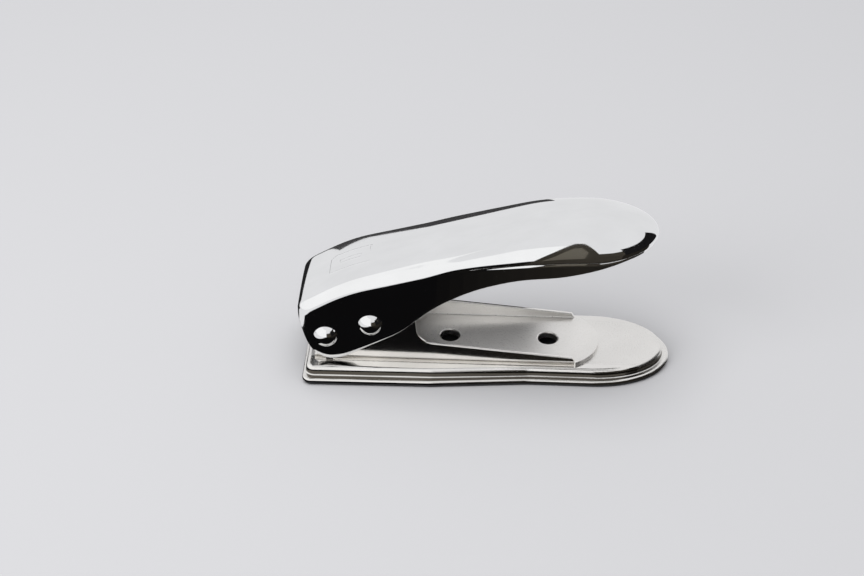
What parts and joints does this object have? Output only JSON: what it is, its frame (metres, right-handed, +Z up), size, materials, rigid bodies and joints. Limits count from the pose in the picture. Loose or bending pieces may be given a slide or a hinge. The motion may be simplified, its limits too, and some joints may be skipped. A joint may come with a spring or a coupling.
{
  "type": "card blank hand punch",
  "caption": "Hand press with a chrome lever on rivets that drives a punch through a die under a U bracket, to cut small card blanks.",
  "frame": {"origin": "middle of the base's length and width, on the underside of the rubber sole", "axes": "+Z up, +X from the hinge end to the free end of the lever, +Y to the left seen from the hinge end"},
  "size_m": [0.1072, 0.0372, 0.0498],
  "materials": {
    "polished_chrome": "mirror-polished chrome plate on pressed steel",
    "satin_nickel": "bright nickel plate with a fine grain",
    "sole_rubber": "matt black rubber",
    "tool_steel": "ground tool steel",
    "spring_steel": "bright drawn steel",
    "black_steel": "blackened steel",
    "bush_brass": "turned brass"
  },
  "bodies": {
    "frame": {"base_shell": "satin_nickel", "base_sole": "sole_rubber", "bracket": "satin_nickel", "die_block": "tool_steel", "card_rail_left": "tool_steel", "card_rail_right": "tool_steel", "card_stop": "tool_steel", "guide_plate": "tool_steel", "die_screws": "black_steel", "guide_posts": "tool_steel", "pivot_bush_left": "bush_brass", "pivot_bush_right": "bush_brass", "return_spring_rear_left": "spring_steel", "return_spring_rear_right": "spring_steel", "return_spring_front_left": "spring_steel", "return_spring_front_right": "spring_steel"},
    "lever": {"handle_shell": "polished_chrome", "pivot_rivet": "polished_chrome", "drive_rivet": "polished_chrome", "drive_washer_left": "spring_steel", "drive_washer_right": "spring_steel"},
    "ram": {"punch_block": "tool_steel", "punch": "tool_steel", "punch_screws": "black_steel"}
  },
  "joints": [
    {"name": "lever_hinge", "type": "hinge", "parent": "frame", "child": "lever", "pos_m": [-0.0461, 0, 0.01375], "axis": [0, 1, 0], "range_deg": [0, 15], "stiffness_Nm_per_rad": 0.34, "springref_deg": -22.92},
    {"name": "punch_slide", "type": "slide", "parent": "frame", "child": "ram", "axis": [0, 0, -1], "range_m": [0, 0.0035], "deforming": ["return_spring_rear_left", "return_spring_rear_right", "return_spring_front_left", "return_spring_front_right"]}
  ],
  "couplings": [
    {"joint": "punch_slide", "follows": "lever_hinge", "m_per_rad": 0.01329}
  ]
}
